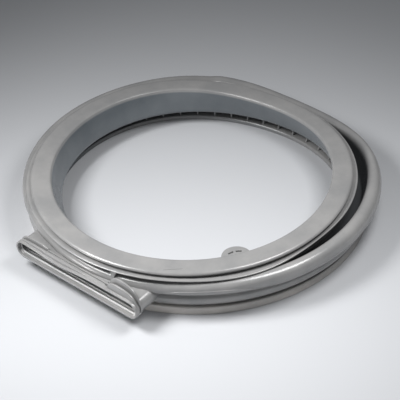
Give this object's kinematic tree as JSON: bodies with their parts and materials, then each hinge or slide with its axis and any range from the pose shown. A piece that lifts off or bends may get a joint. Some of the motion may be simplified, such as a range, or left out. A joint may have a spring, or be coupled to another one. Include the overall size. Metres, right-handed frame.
{
  "type": "washing machine door seal",
  "caption": "Grey rubber bellows seal between a washer dryer's door opening and its tub, with a flat flanged drying air duct at one side.",
  "frame": {"origin": "centre of the bounding box, at the face of the tub ring that the seal lies on", "axes": "+Z from the tub side to the door side, -Y out of the air duct's mouth, +X along the duct's mouth"},
  "size_m": [0.3796, 0.3714, 0.05],
  "materials": {
    "rubber": "satin grey moulded rubber"
  },
  "bodies": {
    "root": {"door_seal": "rubber"}
  },
  "joints": []
}
